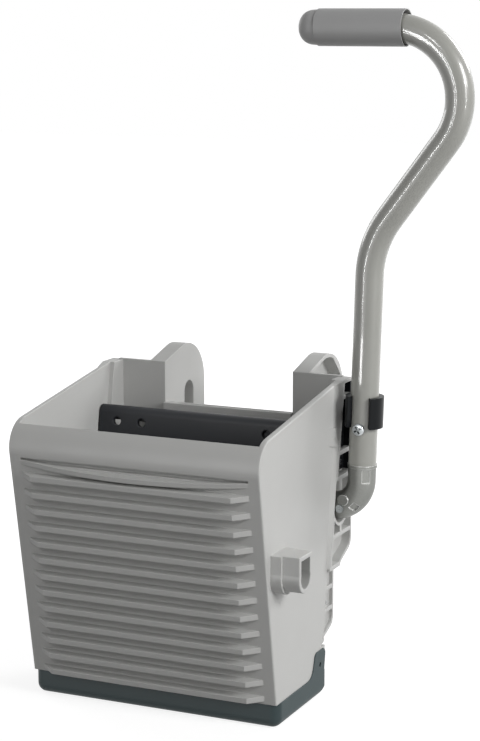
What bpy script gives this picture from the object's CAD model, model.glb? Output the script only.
import math

import bmesh
import bpy
from mathutils import Matrix, Quaternion, Vector


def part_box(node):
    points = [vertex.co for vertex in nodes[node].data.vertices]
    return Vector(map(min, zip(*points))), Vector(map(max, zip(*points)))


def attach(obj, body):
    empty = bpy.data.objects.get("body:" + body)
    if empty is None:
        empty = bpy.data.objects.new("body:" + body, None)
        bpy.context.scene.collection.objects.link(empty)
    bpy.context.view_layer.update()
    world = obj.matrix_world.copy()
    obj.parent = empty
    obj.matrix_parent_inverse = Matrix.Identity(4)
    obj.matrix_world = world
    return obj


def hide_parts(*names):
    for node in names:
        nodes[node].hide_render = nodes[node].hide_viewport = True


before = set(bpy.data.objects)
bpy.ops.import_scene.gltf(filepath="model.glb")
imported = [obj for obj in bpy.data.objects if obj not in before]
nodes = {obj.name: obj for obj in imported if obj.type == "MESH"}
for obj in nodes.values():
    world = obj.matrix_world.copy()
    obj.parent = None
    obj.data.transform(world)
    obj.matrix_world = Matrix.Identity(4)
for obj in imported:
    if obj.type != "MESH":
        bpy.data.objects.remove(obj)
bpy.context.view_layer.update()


# Drain tray. A shallow pan with two rear ears, injection moulded in dark green-grey polypropylene.
# The mould was spark-eroded, so the skin has an even matt grain, and its corners are rounded and a
# little paler where the tray is dragged over the rim of the bucket.
def linear(code):
    """Linear RGBA from an sRGB hex code."""
    channels = [int(code[i:i + 2], 16) / 255 for i in (1, 3, 5)]
    return [c / 12.92 if c <= 0.04045 else ((c + 0.055) / 1.055) ** 2.4 for c in channels] + [1.0]


def add_node(tree, kind, sockets=None, **settings):
    """Adds a node with its settings, and fills or links its sockets by name or number."""
    made = tree.nodes.new(kind)
    for name, value in settings.items():
        setattr(made, name, value)
    for key, value in (sockets or {}).items():
        if isinstance(value, bpy.types.NodeSocket):
            tree.links.new(value, made.inputs[key])
        else:
            made.inputs[key].default_value = value
    return made


def new_finish(name):
    """A new material, with its node tree and its shader's inputs."""
    finish = bpy.data.materials.new(name)
    finish.use_nodes = True
    return finish, finish.node_tree, finish.node_tree.nodes["Principled BSDF"].inputs


def corner_wear(tree, corner_mm, share):
    """Normals rounded over a piece's corners, and how far each spot there is rubbed, up to a share."""
    flat_facing = 0.995
    turned_facing = 0.85
    rounded = add_node(tree, "ShaderNodeBevel", {"Radius": corner_mm / 1000}, samples=6).outputs["Normal"]
    flat = add_node(tree, "ShaderNodeNewGeometry").outputs["Normal"]
    facing = add_node(tree, "ShaderNodeVectorMath", {0: rounded, 1: flat}, operation="DOT_PRODUCT")
    rubbed = add_node(
        tree, "ShaderNodeMapRange",
        {
            "Value": facing.outputs["Value"],
            "From Min": flat_facing,
            "From Max": turned_facing,
            "To Max": share,
        },
    )
    return rounded, rubbed.outputs["Result"]


def moulded_plastic(name, colours, roughness, gloss, corner_mm):
    """Moulded plastic from three colours: skin, faint flow marks in it, and rubbed corners."""
    finish, tree, shader = new_finish(name)
    skin, flow_mark, rubbed = (linear(code) for code in colours)
    flow_mm = 45.0
    # Spark-eroded grain is about 0.2 mm wide. It is drawn five times as wide, to show in the render.
    grain_mm = 1.0
    grain_depth_mm = 0.03
    rub_share = 0.7
    polish_range = 0.05
    place = add_node(tree, "ShaderNodeTexCoord").outputs["Object"]
    flow = add_node(tree, "ShaderNodeTexNoise", {"Vector": place, "Scale": 1000 / flow_mm, "Detail": 4.0})
    tone = add_node(
        tree, "ShaderNodeMix", {0: flow.outputs["Fac"], 6: skin, 7: flow_mark}, data_type="RGBA"
    )
    rounded, wear = corner_wear(tree, corner_mm, rub_share)
    worn = add_node(tree, "ShaderNodeMix", {0: wear, 6: tone.outputs[2], 7: rubbed}, data_type="RGBA")
    grain = add_node(tree, "ShaderNodeTexNoise", {"Vector": place, "Scale": 1000 / grain_mm, "Detail": 2.0})
    bump = add_node(
        tree, "ShaderNodeBump",
        {
            "Strength": 0.6,
            "Distance": grain_depth_mm / 1000,
            "Height": grain.outputs["Fac"],
            "Normal": rounded,
        },
    )
    polish = add_node(
        tree, "ShaderNodeMapRange",
        {
            "Value": flow.outputs["Fac"],
            "To Min": roughness - polish_range,
            "To Max": roughness + polish_range,
        },
    )
    tree.links.new(worn.outputs[2], shader["Base Color"])
    tree.links.new(bump.outputs["Normal"], shader["Normal"])
    tree.links.new(polish.outputs["Result"], shader["Roughness"])
    shader["IOR"].default_value = 1.49
    shader["Specular IOR Level"].default_value = gloss
    return finish


# In metres: points nearer than the first are one point, and heights nearer than the second one level
same_point = 1e-6
same_level = 1e-5


def merged_copy(name, node):
    """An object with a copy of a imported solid, its triangles joined along their edges."""
    mesh = nodes[node].data.copy()
    copy = bmesh.new()
    copy.from_mesh(mesh)
    bmesh.ops.remove_doubles(copy, verts=copy.verts, dist=same_point)
    copy.to_mesh(mesh)
    copy.free()
    mesh.materials.clear()
    piece = bpy.data.objects.new(name, mesh)
    bpy.context.scene.collection.objects.link(piece)
    return piece


def combine(piece, shape, operation):
    """Cuts a piece to a shape, or joins or subtracts it, and takes the shape away."""
    mesh = bpy.data.meshes.new("shape")
    shape.to_mesh(mesh)
    shape.free()
    tool = bpy.data.objects.new("shape", mesh)
    bpy.context.scene.collection.objects.link(tool)
    cut = piece.modifiers.new("cut", "BOOLEAN")
    cut.operation = operation
    cut.solver = "EXACT"
    cut.object = tool
    result = bpy.data.meshes.new_from_object(piece.evaluated_get(bpy.context.evaluated_depsgraph_get()))
    piece.modifiers.remove(cut)
    piece.data = result
    bpy.data.objects.remove(tool)


def prism(outline, start, end):
    """A prism on an outline in the plane of the side walls, from one place to another across it."""
    shape = bmesh.new()
    face = shape.faces.new([shape.verts.new((start, y, z)) for y, z in outline])
    far = bmesh.ops.extrude_face_region(shape, geom=[face])["geom"]
    bmesh.ops.translate(
        shape, verts=[v for v in far if isinstance(v, bmesh.types.BMVert)], vec=(end - start, 0, 0)
    )
    bmesh.ops.recalc_face_normals(shape, faces=shape.faces)
    return shape


def dress(piece, node, finish):
    """Puts a finished piece in the place of a housing node."""
    piece.data.materials.clear()
    piece.data.materials.append(finish)
    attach(piece, "housing")
    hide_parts(node)


tray_plastic = moulded_plastic(
    "tray_polypropylene", ("#313f41", "#2d3b3d", "#505d5f"), roughness=0.5, gloss=0.33, corner_mm=1.0
)
tray_corner = 0.010
tray_edge_radius = 0.0095
tray_round_steps = 10
tray_low, tray_high = (Vector(c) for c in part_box("base_tray"))
# The pan's lower edge is rounded right round, corners too, so the solid is cut to a rounded block
block = bmesh.new()
bmesh.ops.create_cube(block, size=1.0)
for v in block.verts:
    v.co = [low + (c + 0.5) * (high - low) for c, low, high in zip(v.co, tray_low, tray_high)]
    v.co.z = tray_low.z if v.co.z < (tray_low.z + tray_high.z) / 2 else tray_high.z + tray_corner
front_edges = [
    e for e in block.edges
    if abs(e.verts[0].co.z - e.verts[1].co.z) > tray_corner and e.verts[0].co.y < tray_low.y + same_point
]
bmesh.ops.bevel(
    block, geom=front_edges, offset=tray_corner, segments=tray_round_steps, profile=0.5, affect="EDGES"
)
lower_edges = [e for e in block.edges if max(v.co.z for v in e.verts) < tray_low.z + same_point]
bmesh.ops.bevel(
    block, geom=lower_edges, offset=tray_edge_radius, segments=tray_round_steps, profile=0.5, affect="EDGES"
)
tray = merged_copy("drain_tray", "base_tray")
combine(tray, block, "INTERSECT")
# A swept foot leads the rim up into the front of each ear, outside the hopper's wall
wall_side = 0.1326
foot_start = Vector((0.010, 0.025))
foot_bend = Vector((0.0216, 0.025))
foot_end = Vector((0.0256, 0.0335))
foot_behind = 0.027
foot_below = 0.0245
foot_steps = 12
shares = [i / foot_steps for i in range(foot_steps + 1)]
foot = [foot_start * (1 - s) ** 2 + foot_bend * 2 * s * (1 - s) + foot_end * s ** 2 for s in shares]
foot_line = [(foot_start.x, foot_below)] + [tuple(p) for p in foot]
foot_line += [(foot_behind, foot_end.y), (foot_behind, foot_below)]
for side in (-1, 1):
    combine(tray, prism(foot_line, side * wall_side, side * tray_high.x), "UNION")
dress(tray, "base_tray", tray_plastic)


# Tray screws. Four zinc-plated steel pan screws with a cross recess, driven up through the tray's
# floor into the hopper's posts. The head is pressed from wire. The plating is thin, bright, a little
# blue and slightly uneven, and grime stays in the recess.
def area_facing(faces, way):
    """Area of the faces that look one way."""
    same_way = 0.999
    return sum(f.calc_area() for f in faces if f.normal.dot(way) > same_way)


def screw_seats(node):
    """Seat point, axis and sizes of each screw in a node, read from a merged copy of its mesh."""
    copy = bmesh.new()
    copy.from_mesh(nodes[node].data)
    bmesh.ops.remove_doubles(copy, verts=copy.verts, dist=same_point)
    waiting = set(copy.verts)
    found = []
    while waiting:
        island = {waiting.pop()}
        edge_of_it = set(island)
        while edge_of_it:
            beside = {e.other_vert(v) for v in edge_of_it for e in v.link_edges}
            edge_of_it = beside - island
            island |= edge_of_it
        waiting -= island
        faces = {f for v in island for f in v.link_faces}
        axis = max((f.normal for f in faces), key=lambda way: area_facing(faces, way)).copy()
        heights = {v: v.co.dot(axis) for v in island}
        low, high = min(heights.values()), max(heights.values())
        foot = [v.co for v in island if heights[v] < low + same_level]
        middle = sum(foot, Vector()) / len(foot)
        spread = {v: (v.co - middle - axis * (heights[v] - low)).length for v in island}
        head_radius = max(spread.values())
        end_radii = [
            max(s for v, s in spread.items() if abs(heights[v] - end) < same_level) for end in (low, high)
        ]
        if end_radii[0] > end_radii[1]:
            axis, low, high = -axis, -high, -low
            heights = {v: -h for v, h in heights.items()}
            middle -= axis * (middle.dot(axis) - low)
        seat = min(h for v, h in heights.items() if spread[v] > head_radius - same_level)
        sizes = (head_radius, high - seat, min(end_radii), seat - low)
        found.append((middle + axis * (seat - low), axis, sizes))
    copy.free()
    sorting_digits = 5
    return sorted(found, key=lambda screw: [round(c, sorting_digits) for c in screw[0]])


screw_tree = bpy.data.node_groups.new("pan_screw", "GeometryNodeTree")
screw_sizes = ("Head Radius", "Head Height", "Shank Radius", "Shank Length")
screw_tree.interface.new_socket("Seats", in_out="INPUT", socket_type="NodeSocketGeometry")
for size_name in screw_sizes:
    screw_tree.interface.new_socket(size_name, in_out="INPUT", socket_type="NodeSocketFloat")
screw_tree.interface.new_socket("Plating", in_out="INPUT", socket_type="NodeSocketMaterial")
screw_tree.interface.new_socket("Screws", in_out="OUTPUT", socket_type="NodeSocketGeometry")
given = add_node(screw_tree, "NodeGroupInput").outputs
# Head of unit size: a ball squared off into a pan with a flat seat, by raising its lengths to a power
pan_power = 0.5
pole_radius = 0.001
ball = add_node(screw_tree, "GeometryNodeMeshUVSphere", {"Segments": 40, "Rings": 24, "Radius": 1.0})
ball_place = add_node(screw_tree, "GeometryNodeInputPosition").outputs["Position"]
parts = add_node(screw_tree, "ShaderNodeSeparateXYZ", {"Vector": ball_place}).outputs
across = add_node(screw_tree, "ShaderNodeCombineXYZ", {"X": parts["X"], "Y": parts["Y"]}).outputs["Vector"]
radius = add_node(screw_tree, "ShaderNodeVectorMath", {0: across}, operation="LENGTH").outputs["Value"]
clear = add_node(screw_tree, "ShaderNodeMath", {0: radius, 1: pole_radius}, operation="MAXIMUM").outputs[0]
swell = add_node(screw_tree, "ShaderNodeMath", {0: clear, 1: pan_power - 1}, operation="POWER").outputs[0]
wide = add_node(
    screw_tree, "ShaderNodeVectorMath", {0: across, "Scale": swell}, operation="SCALE"
).outputs[0]
above = add_node(screw_tree, "ShaderNodeMath", {0: parts["Z"], 1: 0.0}, operation="MAXIMUM").outputs[0]
rise = add_node(screw_tree, "ShaderNodeMath", {0: above, 1: pan_power}, operation="POWER").outputs[0]
lift = add_node(screw_tree, "ShaderNodeCombineXYZ", {"Z": rise}).outputs["Vector"]
pan_place = add_node(screw_tree, "ShaderNodeVectorMath", {0: wide, 1: lift}, operation="ADD").outputs[0]
pan = add_node(
    screw_tree, "GeometryNodeSetPosition", {"Geometry": ball.outputs["Mesh"], "Position": pan_place}
)
# Cross recess: two wings sunk a little over half of the head's height
wing_length = 1.24
wing_width = 0.30
wing_height = 1.2
wing_middle = 1.05
head = add_node(
    screw_tree, "GeometryNodeMeshBoolean", {"Mesh 1": pan.outputs["Geometry"]}, operation="DIFFERENCE",
    solver="EXACT"
)
for wing in ((wing_length, wing_width, wing_height), (wing_width, wing_length, wing_height)):
    bar = add_node(screw_tree, "GeometryNodeMeshCube", {"Size": wing})
    sunk = add_node(
        screw_tree, "GeometryNodeTransform",
        {"Geometry": bar.outputs["Mesh"], "Translation": (0, 0, wing_middle)}
    )
    screw_tree.links.new(sunk.outputs["Geometry"], head.inputs["Mesh 2"])
head_scale = add_node(
    screw_tree, "ShaderNodeCombineXYZ",
    {"X": given["Head Radius"], "Y": given["Head Radius"], "Z": given["Head Height"]}
)
sized_head = add_node(
    screw_tree, "GeometryNodeTransform",
    {"Geometry": head.outputs["Mesh"], "Scale": head_scale.outputs["Vector"]}
)
# Shank below the seat
rod = add_node(screw_tree, "GeometryNodeMeshCylinder", {"Vertices": 24, "Radius": 1.0, "Depth": 1.0})
rod_scale = add_node(
    screw_tree, "ShaderNodeCombineXYZ",
    {"X": given["Shank Radius"], "Y": given["Shank Radius"], "Z": given["Shank Length"]}
)
half_down = add_node(
    screw_tree, "ShaderNodeMath", {0: given["Shank Length"], 1: -0.5}, operation="MULTIPLY"
).outputs[0]
rod_place = add_node(screw_tree, "ShaderNodeCombineXYZ", {"Z": half_down})
shank = add_node(
    screw_tree, "GeometryNodeTransform",
    {
        "Geometry": rod.outputs["Mesh"],
        "Translation": rod_place.outputs["Vector"],
        "Scale": rod_scale.outputs["Vector"],
    },
)
whole = add_node(screw_tree, "GeometryNodeJoinGeometry", {"Geometry": sized_head.outputs["Geometry"]})
screw_tree.links.new(shank.outputs["Geometry"], whole.inputs["Geometry"])
crease_angle = 0.6
smooth = add_node(screw_tree, "GeometryNodeSetShadeSmooth", {"Geometry": whole.outputs["Geometry"]})
bend = add_node(screw_tree, "GeometryNodeInputMeshEdgeAngle").outputs["Unsigned Angle"]
sharp = add_node(
    screw_tree, "FunctionNodeCompare", {"A": bend, "B": crease_angle}, operation="GREATER_THAN"
)
crisp = add_node(
    screw_tree, "GeometryNodeSetShadeSmooth",
    {"Geometry": smooth.outputs["Geometry"], "Selection": sharp.outputs["Result"], "Shade Smooth": False},
    domain="EDGE",
)
# One screw on each seat, along its axis and turned as it was left by the driver
seat_axis = add_node(
    screw_tree, "GeometryNodeInputNamedAttribute", {"Name": "axis"}, data_type="FLOAT_VECTOR"
)
seat_turn = add_node(screw_tree, "GeometryNodeInputNamedAttribute", {"Name": "turn"}, data_type="FLOAT")
along = add_node(
    screw_tree, "FunctionNodeAlignRotationToVector", {"Vector": seat_axis.outputs["Attribute"]}, axis="Z"
)
driven = add_node(
    screw_tree, "FunctionNodeAxisAngleToRotation",
    {"Axis": (0, 0, 1), "Angle": seat_turn.outputs["Attribute"]}
)
rotation = add_node(
    screw_tree, "FunctionNodeRotateRotation",
    {"Rotation": along.outputs["Rotation"], "Rotate By": driven.outputs["Rotation"]}, rotation_space="LOCAL"
)
placed = add_node(
    screw_tree, "GeometryNodeInstanceOnPoints",
    {
        "Points": given["Seats"],
        "Instance": crisp.outputs["Geometry"],
        "Rotation": rotation.outputs["Rotation"],
    },
)
real = add_node(screw_tree, "GeometryNodeRealizeInstances", {"Geometry": placed.outputs["Instances"]})
plated = add_node(
    screw_tree, "GeometryNodeSetMaterial",
    {"Geometry": real.outputs["Geometry"], "Material": given["Plating"]}
)
add_node(screw_tree, "NodeGroupOutput", {"Screws": plated.outputs["Geometry"]})
screw_sockets = {item.name: item.identifier for item in screw_tree.interface.items_tree}


def fit_screws(name, node, body, plating, first_turn):
    """Cross-recess pan screws in the place of a node's plain ones."""
    turn_step = 1.1
    seats = screw_seats(node)
    points = bpy.data.meshes.new(name + "_seats")
    points.from_pydata([seat for seat, axis, sizes in seats], [], [])
    points.attributes.new("axis", "FLOAT_VECTOR", "POINT")
    points.attributes.new("turn", "FLOAT", "POINT")
    for i, (seat, axis, sizes) in enumerate(seats):
        points.attributes["axis"].data[i].vector = axis
        points.attributes["turn"].data[i].value = first_turn + turn_step * i
    holder = bpy.data.objects.new(name + "_seats", points)
    bpy.context.scene.collection.objects.link(holder)
    screws = holder.modifiers.new("screws", "NODES")
    screws.node_group = screw_tree
    for size_name, size in zip(screw_sizes, seats[0][2]):
        screws[screw_sockets[size_name]] = size
    screws[screw_sockets["Plating"]] = plating
    drawn = holder.evaluated_get(bpy.context.evaluated_depsgraph_get())
    mesh = bpy.data.meshes.new_from_object(drawn)
    bpy.data.objects.remove(holder)
    piece = bpy.data.objects.new(name, mesh)
    bpy.context.scene.collection.objects.link(piece)
    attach(piece, body)
    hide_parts(node)


def plated_steel(name, colours, roughness):
    """Plated steel from three colours: bright metal, faint cloudy stains, and grime in its recesses."""
    finish, tree, shader = new_finish(name)
    bright, stain, grime = (linear(code) for code in colours)
    cloud_mm = 4.0
    grime_mm = 2.0
    sheltered = 0.35
    exposed = 0.85
    polish_range = 0.06
    place = add_node(tree, "ShaderNodeTexCoord").outputs["Object"]
    cloud = add_node(tree, "ShaderNodeTexNoise", {"Vector": place, "Scale": 1000 / cloud_mm, "Detail": 3.0})
    tone = add_node(tree, "ShaderNodeMix", {0: cloud.outputs["Fac"], 6: bright, 7: stain}, data_type="RGBA")
    polish = add_node(
        tree, "ShaderNodeMapRange",
        {
            "Value": cloud.outputs["Fac"],
            "To Min": roughness - polish_range,
            "To Max": roughness + polish_range,
        },
    )
    shelter = add_node(tree, "ShaderNodeAmbientOcclusion", {"Distance": grime_mm / 1000}, samples=8)
    clean = add_node(
        tree, "ShaderNodeMapRange",
        {"Value": shelter.outputs["AO"], "From Min": sheltered, "From Max": exposed}
    )
    soiled = add_node(
        tree, "ShaderNodeMix",
        {0: clean.outputs["Result"], 6: grime, 7: tone.outputs[2]}, data_type="RGBA"
    )
    tree.links.new(soiled.outputs[2], shader["Base Color"])
    tree.links.new(polish.outputs["Result"], shader["Roughness"])
    shader["Metallic"].default_value = 1.0
    return finish


zinc_plate = plated_steel("zinc_plated_steel", ("#c4c8c9", "#a6abad", "#2c3130"), roughness=0.27)
fit_screws("tray_pan_screws", "tray_screws", "housing", zinc_plate, first_turn=0.3)


# Hopper and rear frame. Two light grey polypropylene mouldings that meet along the rear edges of the
# side walls, where six pan screws join them. Same spark-eroded skin as the tray. The frame's two ears
# get their round crests here, with a rim along the edge.
def coat_node(name, finish):
    """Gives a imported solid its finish."""
    mesh = nodes[name].data
    mesh.materials.clear()
    mesh.materials.append(finish)


shell_plastic = moulded_plastic(
    "hopper_polypropylene", ("#c1c1bf", "#bdbdbb", "#cfcfcd"), roughness=0.48, gloss=0.4, corner_mm=1.1
)
coat_node("front_shell", shell_plastic)
ear_inner = 0.0725
ear_outer = 0.090
ear_rim = 0.004
ear_rear = 0.207
ear_root = Vector((0.113, 0.314))
ear_rise = 0.27
ear_slope = math.atan(ear_rise)
ear_crest_radius = 0.044
ear_steps = 24
# Each ear rises along a straight top edge and turns down in one large round to its rear edge
crest_y = ear_rear - ear_crest_radius
crest_z = (
    ear_root.y + (crest_y - ear_root.x) * math.tan(ear_slope) - ear_crest_radius / math.cos(ear_slope)
)
crest_turn = math.pi / 2 + ear_slope
turns = [crest_turn - crest_turn * i / ear_steps for i in range(ear_steps + 1)]
rounds = [
    [(crest_y + r * math.cos(a), crest_z + r * math.sin(a)) for a in turns]
    for r in (ear_crest_radius, ear_crest_radius - ear_rim)
]
inner_root = (ear_root.x, ear_root.y - ear_rim / math.cos(ear_slope))
crest_rim = [tuple(ear_root)] + rounds[0] + rounds[1][::-1] + [inner_root]
# What is cut away above each crest reaches past the ear behind it, over it and on both sides of it
cut_behind = 0.02
cut_beside = 0.001
cut_top = 0.36
cut_rear = ear_rear + cut_behind
cut_inner = ear_inner - cut_beside
cut_outer = ear_outer + cut_beside
above_crest = [tuple(ear_root)] + rounds[0]
above_crest += [(cut_rear, crest_z), (cut_rear, cut_top), (ear_root.x, cut_top)]
rear_frame = merged_copy("rear_frame_moulding", "rear_frame")
for side in (-1, 1):
    combine(rear_frame, prism(above_crest, side * cut_inner, side * cut_outer), "DIFFERENCE")
    combine(rear_frame, prism(crest_rim, side * ear_inner, side * ear_outer), "UNION")
dress(rear_frame, "rear_frame", shell_plastic)
fit_screws("shell_pan_screws", "shell_screws", "housing", zinc_plate, first_turn=0.8)

# Pressure plate, its hinge pin, and the hooked tracks screwed to its back. The plate and tracks are
# black glass-filled polypropylene, whose fibres leave a satin skin. Pin and screws are zinc plated.
plate_plastic = moulded_plastic(
    "plate_polypropylene", ("#26282c", "#222428", "#3a3d42"), roughness=0.42, gloss=0.3, corner_mm=1.2
)
for name in ("pressure_plate", "cam_track_left", "cam_track_right"):
    coat_node(name, plate_plastic)
coat_node("track_screws", zinc_plate)
coat_node("hinge_pin", zinc_plate)

# Bearings. Bushes, thrust washers and rollers in natural acetal, turned from rod and slippery: an
# off-white with a waxy shine.
bearing_acetal = moulded_plastic(
    "bearing_acetal", ("#dedbd2", "#d8d5cb", "#e6e4dd"), roughness=0.36, gloss=0.5, corner_mm=0.4
)
for name in (
    "shaft_bush_left", "shaft_bush_right", "thrust_washer_left", "thrust_washer_right",
    "roller_left", "roller_right",
):
    coat_node(name, bearing_acetal)

# Drive shaft with its ring and pins. Steel tube and wire, cut to length and zinc plated: the same
# bright, slightly cloudy skin as on the screws.
for name in (
    "drive_shaft", "retaining_ring", "crank_pins", "roller_pin_left", "roller_pin_right", "elbow_pin",
):
    coat_node(name, zinc_plate)

# Elbow and crank arms. Zinc die castings, left as they were tumbled: dull silver with a fine pebbled
# skin, darker in the hollows and brighter along the corners that the tumbling rubbed.
casting, casting_tree, casting_shader = new_finish("zinc_die_casting")
# The tumbled skin is about 0.3 mm wide. It is drawn four times as wide, to show in the render.
pebble_mm = 1.2
pebble_depth_mm = 0.06
cast_corner_mm = 0.9
cast_place = add_node(casting_tree, "ShaderNodeTexCoord").outputs["Object"]
pebble = add_node(
    casting_tree, "ShaderNodeTexNoise", {"Vector": cast_place, "Scale": 1000 / pebble_mm, "Detail": 3.0}
)
cast_normal, cast_rub = corner_wear(casting_tree, cast_corner_mm, share=1.0)
cast_skin = add_node(
    casting_tree, "ShaderNodeMix",
    {0: pebble.outputs["Fac"], 6: linear("#767773"), 7: linear("#90918e")}, data_type="RGBA"
)
cast_tone = add_node(
    casting_tree, "ShaderNodeMix",
    {0: cast_rub, 6: cast_skin.outputs[2], 7: linear("#d0d1cf")}, data_type="RGBA"
)
cast_bump = add_node(
    casting_tree, "ShaderNodeBump",
    {
        "Strength": 0.7,
        "Distance": pebble_depth_mm / 1000,
        "Height": pebble.outputs["Fac"],
        "Normal": cast_normal,
    },
)
casting_tree.links.new(cast_tone.outputs[2], casting_shader["Base Color"])
casting_tree.links.new(cast_bump.outputs["Normal"], casting_shader["Normal"])
casting_shader["Metallic"].default_value = 1.0
casting_shader["Roughness"].default_value = 0.4
for name in ("elbow", "crank_left", "crank_right"):
    coat_node(name, casting)

# Lever tube and its screw. Steel tube bent cold and painted a glossy mid grey. The paint has a clear
# skin with a slight orange peel, so lamps show in it as thin bright lines round the bends.
paint, paint_tree, paint_shader = new_finish("lever_gloss_paint")
peel_mm = 3.0
peel_depth_mm = 0.03
paint_cloud_mm = 40.0
paint_place = add_node(paint_tree, "ShaderNodeTexCoord").outputs["Object"]
peel = add_node(
    paint_tree, "ShaderNodeTexNoise", {"Vector": paint_place, "Scale": 1000 / peel_mm, "Detail": 1.0}
)
paint_cloud = add_node(
    paint_tree, "ShaderNodeTexNoise", {"Vector": paint_place, "Scale": 1000 / paint_cloud_mm, "Detail": 3.0}
)
paint_tone = add_node(
    paint_tree, "ShaderNodeMix",
    {0: paint_cloud.outputs["Fac"], 6: linear("#a1a19b"), 7: linear("#9b9b95")}, data_type="RGBA"
)
paint_bump = add_node(
    paint_tree, "ShaderNodeBump",
    {"Strength": 0.25, "Distance": peel_depth_mm / 1000, "Height": peel.outputs["Fac"]}
)
paint_tree.links.new(paint_tone.outputs[2], paint_shader["Base Color"])
paint_tree.links.new(paint_bump.outputs["Normal"], paint_shader["Normal"])
paint_tree.links.new(paint_bump.outputs["Normal"], paint_shader["Coat Normal"])
paint_shader["Roughness"].default_value = 0.34
paint_shader["Coat Weight"].default_value = 0.6
paint_shader["Coat Roughness"].default_value = 0.07
coat_node("handle_tube", paint)
fit_screws("tube_pan_screw", "tube_screw", "lever", zinc_plate, first_turn=0.5)

# Grip. Soft vinyl, dipped on a mandrel and pushed over the tube's end: matt grey with fine pores, and
# handled to a slight shine in patches. It is one turned form with a blunt dome and a low shoulder.
vinyl, vinyl_tree, vinyl_shader = new_finish("dipped_vinyl")
# The skin's pores are about 0.3 mm wide. They are drawn four times as wide, to show in the render.
pore_mm = 1.2
pore_depth_mm = 0.04
handled_mm = 35.0
shiny_roughness = 0.5
matt_roughness = 0.62
vinyl_corner_mm = 0.8
vinyl_place = add_node(vinyl_tree, "ShaderNodeTexCoord").outputs["Object"]
pores = add_node(
    vinyl_tree, "ShaderNodeTexNoise", {"Vector": vinyl_place, "Scale": 1000 / pore_mm, "Detail": 2.0}
)
handled = add_node(
    vinyl_tree, "ShaderNodeTexNoise", {"Vector": vinyl_place, "Scale": 1000 / handled_mm, "Detail": 2.0}
)
vinyl_tone = add_node(
    vinyl_tree, "ShaderNodeMix",
    {0: handled.outputs["Fac"], 6: linear("#a9a9a9"), 7: linear("#a3a3a3")}, data_type="RGBA"
)
vinyl_edge = add_node(vinyl_tree, "ShaderNodeBevel", {"Radius": vinyl_corner_mm / 1000}, samples=6)
vinyl_bump = add_node(
    vinyl_tree, "ShaderNodeBump",
    {
        "Strength": 0.5,
        "Distance": pore_depth_mm / 1000,
        "Height": pores.outputs["Fac"],
        "Normal": vinyl_edge.outputs["Normal"],
    },
)
vinyl_polish = add_node(
    vinyl_tree, "ShaderNodeMapRange",
    {"Value": handled.outputs["Fac"], "To Min": shiny_roughness, "To Max": matt_roughness}
)
vinyl_tree.links.new(vinyl_tone.outputs[2], vinyl_shader["Base Color"])
vinyl_tree.links.new(vinyl_bump.outputs["Normal"], vinyl_shader["Normal"])
vinyl_tree.links.new(vinyl_polish.outputs["Result"], vinyl_shader["Roughness"])
# Half section of the grip: blunt dome, neck, shoulder, mouth with its bell, and bore
tip_trim = 0.0015
mouth_trim = 0.0018
tube_gap = 0.0003
dome_exponent = 2.4
dome_steps = 24
grip_shoulder = 0.0011
grip_neck = 0.002
grip_bore = 0.0143
grip_bell = 0.0026
grip_bell_length = 0.012
grip_low, grip_high = (Vector(c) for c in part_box("handle_grip"))
grip_axis = (grip_low + grip_high) / 2
grip_radius = (grip_high.z - grip_low.z) / 2
grip_tip = grip_low.x + tip_trim
grip_mouth = grip_high.x - mouth_trim
grip_end_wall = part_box("handle_tube")[0][0] - tube_gap
dome_radius = grip_radius - grip_shoulder
dome_x = grip_tip + dome_radius
dome_power = 2 / dome_exponent
quarter = [math.pi / 2 * i / dome_steps for i in range(dome_steps + 1)]
grip_line = [
    (dome_x - dome_radius * abs(math.cos(a)) ** dome_power, dome_radius * math.sin(a) ** dome_power)
    for a in quarter
] + [
    (dome_x + grip_neck, dome_radius),
    (dome_x + grip_neck + grip_shoulder, grip_radius),
    (grip_mouth, grip_radius),
    (grip_mouth, grip_bore + grip_bell),
    (grip_mouth - grip_bell_length, grip_bore + grip_bell),
    (grip_mouth - grip_bell_length, grip_bore),
    (grip_end_wall, grip_bore),
    (grip_end_wall, 0.0),
]
# The section turned round the grip's axis, smooth but for the edges of shoulder and mouth
turned_steps = 72
sharp_angle = math.radians(25)
grip_shape = bmesh.new()
rim = [grip_shape.verts.new((x, grip_axis.y, grip_axis.z + r)) for x, r in grip_line]
for first, second in zip(rim, rim[1:]):
    grip_shape.edges.new((first, second))
bmesh.ops.spin(
    grip_shape, geom=grip_shape.verts[:] + grip_shape.edges[:], cent=grip_axis, axis=(1, 0, 0),
    angle=2 * math.pi, steps=turned_steps, use_merge=True
)
bmesh.ops.remove_doubles(grip_shape, verts=grip_shape.verts, dist=same_point)
bmesh.ops.recalc_face_normals(grip_shape, faces=grip_shape.faces)
for face in grip_shape.faces:
    face.smooth = True
grip_mesh = bpy.data.meshes.new("vinyl_grip")
grip_shape.to_mesh(grip_mesh)
grip_shape.free()
grip_mesh.set_sharp_from_angle(angle=sharp_angle)
grip_mesh.materials.append(vinyl)
grip = bpy.data.objects.new("vinyl_grip", grip_mesh)
bpy.context.scene.collection.objects.link(grip)
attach(grip, "lever")
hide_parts("handle_grip")

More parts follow.
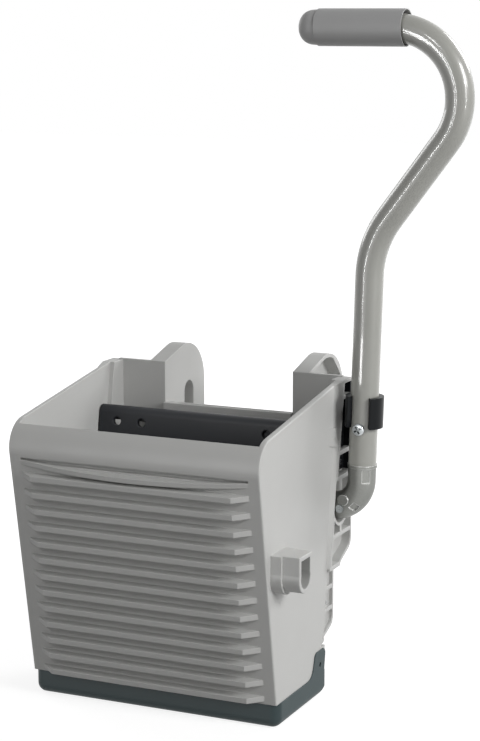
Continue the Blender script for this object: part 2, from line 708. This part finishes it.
# Snap clip and its two screws. Black acetal, moulded in a polished tool, so it is shinier than the
# plate. Its base plate turns out along its rear edge, notched for the bracket's ribs. The screws are
# blackened steel and hardly show on it.
clip_acetal = moulded_plastic(
    "clip_acetal", ("#191b1d", "#16181a", "#292c2f"), roughness=0.3, gloss=0.12, corner_mm=1.0
)
clip_low = Vector(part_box("handle_clip")[0])
clip = merged_copy("snap_clip", "handle_clip")
base_face = [v.co for v in clip.data.vertices if v.co.x < clip_low.x + same_level]
base_rear = max(p.y for p in base_face)
base_top = max(p.z for p in base_face)
edge_wall = 0.002
edge_depth = 0.0092
rib_heights = (0.241, 0.296)
rib_notch = 0.0046
edge_levels = [clip_low.z]
for z in rib_heights:
    edge_levels += [z - rib_notch / 2, z + rib_notch / 2]
edge_levels.append(base_top)
for low, high in zip(edge_levels[::2], edge_levels[1::2]):
    edge = [
        (base_rear - edge_wall, low), (base_rear, low), (base_rear, high), (base_rear - edge_wall, high)
    ]
    combine(clip, prism(edge, clip_low.x, clip_low.x + edge_depth), "UNION")
dress(clip, "handle_clip", clip_acetal)
black_steel = plated_steel("blackened_steel", ("#2a2b2d", "#222325", "#141516"), roughness=0.4)
fit_screws("clip_pan_screws", "clip_screws", "housing", black_steel, first_turn=0.2)


# Studio. A pale floor, a soft key lamp high on the right, fills in front, behind and on the left, thin
# strip lamps for the lever's gloss, and a camera where the photographer stood. For the camera and in
# reflections, the floor and the room glow white, and the floor a little less where the shadow lies.
def seen_share(tree):
    """1 for what the camera sees, directly or in a reflection, and 0 for what only lights the object."""
    ray = add_node(tree, "ShaderNodeLightPath").outputs
    mirrored = add_node(tree, "ShaderNodeMath", {0: ray["Is Glossy Ray"], 1: ray["Is Transmission Ray"]})
    seen = add_node(
        tree, "ShaderNodeMath", {0: ray["Is Camera Ray"], 1: mirrored.outputs[0]}, use_clamp=True
    )
    return seen.outputs[0]


floor_half = 8.0
shadow_radius = 0.15
white_radius = 1.2
shadow_glow = 0.82
floor_mesh = bpy.data.meshes.new("floor")
floor_mesh.from_pydata(
    [(-floor_half, -floor_half, 0), (floor_half, -floor_half, 0), (floor_half, floor_half, 0),
     (-floor_half, floor_half, 0)], [], [(0, 1, 2, 3)]
)
floor = bpy.data.objects.new("floor", floor_mesh)
bpy.context.scene.collection.objects.link(floor)
floor_paint, floor_tree, floor_shader = new_finish("floor_paint")
floor_shader["Base Color"].default_value = linear("#a0a0a0")
floor_shader["Roughness"].default_value = 0.9
floor_shader["Specular IOR Level"].default_value = 0.0
floor_shader["Emission Color"].default_value = linear("#ffffff")
floor_place = add_node(floor_tree, "ShaderNodeTexCoord").outputs["Object"]
away = add_node(floor_tree, "ShaderNodeVectorMath", {0: floor_place}, operation="LENGTH").outputs["Value"]
glow = add_node(
    floor_tree, "ShaderNodeMapRange",
    {
        "Value": away,
        "From Min": shadow_radius,
        "From Max": white_radius,
        "To Min": shadow_glow,
        "To Max": 1.0,
    },
)
floor_glow = add_node(
    floor_tree, "ShaderNodeMath", {0: seen_share(floor_tree), 1: glow.outputs["Result"]},
    operation="MULTIPLY"
)
floor_tree.links.new(floor_glow.outputs[0], floor_shader["Emission Strength"])
floor_mesh.materials.append(floor_paint)

room_light = 0.13
world = bpy.data.worlds.new("studio")
bpy.context.scene.world = world
world.use_nodes = True
room = world.node_tree.nodes["Background"].inputs
room["Color"].default_value = linear("#ffffff")
room_glow = add_node(
    world.node_tree, "ShaderNodeMapRange",
    {"Value": seen_share(world.node_tree), "To Min": room_light, "To Max": 1.0}
)
world.node_tree.links.new(room_glow.outputs["Result"], room["Strength"])


def lamp(name, place, aim, width, height, power, lean=0.0):
    """A rectangular studio lamp aimed at a point, and leaning sideways by an angle."""
    light = bpy.data.lights.new(name, "AREA")
    light.shape = "RECTANGLE"
    light.size = width
    light.size_y = height
    light.energy = power
    stand = bpy.data.objects.new(name, light)
    bpy.context.scene.collection.objects.link(stand)
    aimed = (Vector(aim) - Vector(place)).to_track_quat("-Z", "Y")
    stand.location = place
    stand.rotation_euler = (aimed @ Quaternion((0, 0, 1), lean)).to_euler()
    return stand


lamp("key", place=(3.9, -0.8, 2.1), aim=(0, 0, 0.3), width=1.6, height=1.6, power=128)
lamp("front_fill", place=(0.2, -2.5, 1.7), aim=(0, 0, 0.4), width=0.4, height=0.4, power=10.5)
lamp("back_fill", place=(1.3, 2.7, 1.9), aim=(0, 0, 0.3), width=1.2, height=1.2, power=48)
lamp("left_fill", place=(-2.6, 1.1, 1.3), aim=(0, 0, 0.3), width=1.2, height=1.2, power=18)
# The strips only show in glossy skins, as the lines on the lever's bends
strips = [
    lamp(
        "strip_slope", place=(-0.485, -1.595, 0.435), aim=(0.185, 0.088, 0.53),
        width=0.1, height=0.75, power=7, lean=math.radians(-36.7)
    ),
    lamp("strip_hook", place=(-0.05, -1.69, 0.6), aim=(0.25, 0.088, 0.6), width=0.1, height=0.5, power=5),
    lamp("strip_low", place=(-0.44, -1.36, 0.06), aim=(0.17, 0.088, 0.655), width=0.5, height=0.1, power=4),
    lamp("strip_right", place=(1.9, -0.6, 0.75), aim=(0.25, 0.088, 0.6), width=0.1, height=1.0, power=8),
]
for strip in strips:
    strip.visible_diffuse = False

# The camera's place, turn and focal length were fitted to the photo's edges
picture_height_px = 741
focal_length_px = 2014
sensor_mm = 36.0
camera_place = Vector((0.8615, -1.738, 0.675))
camera_data = bpy.data.cameras.new("camera")
camera_data.sensor_fit = "VERTICAL"
camera_data.sensor_height = sensor_mm
camera_data.lens = sensor_mm * focal_length_px / picture_height_px
camera = bpy.data.objects.new("camera", camera_data)
bpy.context.scene.collection.objects.link(camera)
right = Vector((0.909, 0.4165, 0)).normalized()
back = Vector((0.410, -0.8948, 0.176)).normalized()
up = back.cross(right).normalized()
right = up.cross(back)
turn = Matrix((right, up, back)).transposed().to_4x4()
camera.matrix_world = Matrix.Translation(camera_place) @ turn
bpy.context.scene.camera = camera

bpy.context.scene.view_settings.view_transform = "Standard"
